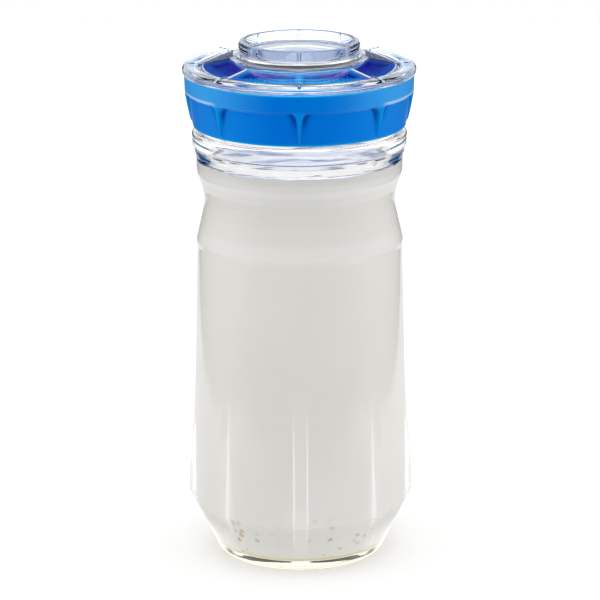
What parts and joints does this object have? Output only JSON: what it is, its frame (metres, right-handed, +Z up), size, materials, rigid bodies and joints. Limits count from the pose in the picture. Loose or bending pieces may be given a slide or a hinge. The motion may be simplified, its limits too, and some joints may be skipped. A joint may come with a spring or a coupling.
{
  "type": "kefir fermentation jar",
  "caption": "Ribbed glass fermenting jar filled with kefir, closed by a blue screw ring with a strainer, a clear cover, a citrus squeezer and a turning vent cap.",
  "frame": {"origin": "centre of the jar's foot, on the surface it stands on", "axes": "+Z up the jar's axis, the front with one grip rib faces -Y, +X to the right"},
  "size_m": [0.1102, 0.1102, 0.2507],
  "materials": {
    "glass": "clear polished pressed glass",
    "kefir": "opaque off-white cultured milk",
    "silicone": "translucent white silicone",
    "blue_plastic": "satin bright blue moulded plastic",
    "blue_plastic_inner": "satin blue moulded plastic",
    "clear_plastic": "clear glossy moulded plastic",
    "dark_seal": "black rubber ring"
  },
  "bodies": {
    "jar": {"glass_jar": "glass", "kefir_fill": "kefir"},
    "seal": {"jar_seal": "silicone"},
    "strainer_insert": {"strainer": "blue_plastic_inner"},
    "ring": {"screw_ring": "blue_plastic"},
    "cover": {"clear_cover": "clear_plastic"},
    "squeezer_cup": {"squeezer": "blue_plastic_inner"},
    "cap_ring_seal": {"cap_seal": "dark_seal"},
    "cap": {"vent_cap": "clear_plastic"}
  },
  "joints": [
    {"name": "lid_lift", "type": "slide", "parent": "jar", "child": "seal", "axis": [0, 0, 1], "range_m": [0, 0.12]},
    {"name": "thread_rise", "type": "slide", "parent": "seal", "child": "strainer_insert", "axis": [0, 0, 1], "range_m": [0, 0.004]},
    {"name": "ring_turn", "type": "hinge", "parent": "strainer_insert", "child": "ring", "pos_m": [0, 0, 0.223], "axis": [0, 0, 1], "range_deg": [0, 360]},
    {"name": "cover_lift", "type": "slide", "parent": "ring", "child": "cover", "axis": [0, 0, 1], "range_m": [0, 0.06]},
    {"name": "squeezer_lift", "type": "slide", "parent": "cover", "child": "squeezer_cup", "axis": [0, 0, 1], "range_m": [0, 0.04]},
    {"name": "cap_lift", "type": "slide", "parent": "squeezer_cup", "child": "cap_ring_seal", "axis": [0, 0, 1], "range_m": [0, 0.04]},
    {"name": "cap_turn", "type": "hinge", "parent": "cap_ring_seal", "child": "cap", "pos_m": [0, 0, 0.245], "axis": [0, 0, 1], "range_deg": [0, 45]}
  ],
  "couplings": [
    {"joint": "thread_rise", "follows": "ring_turn", "m_per_rad": 0.00063661}
  ]
}
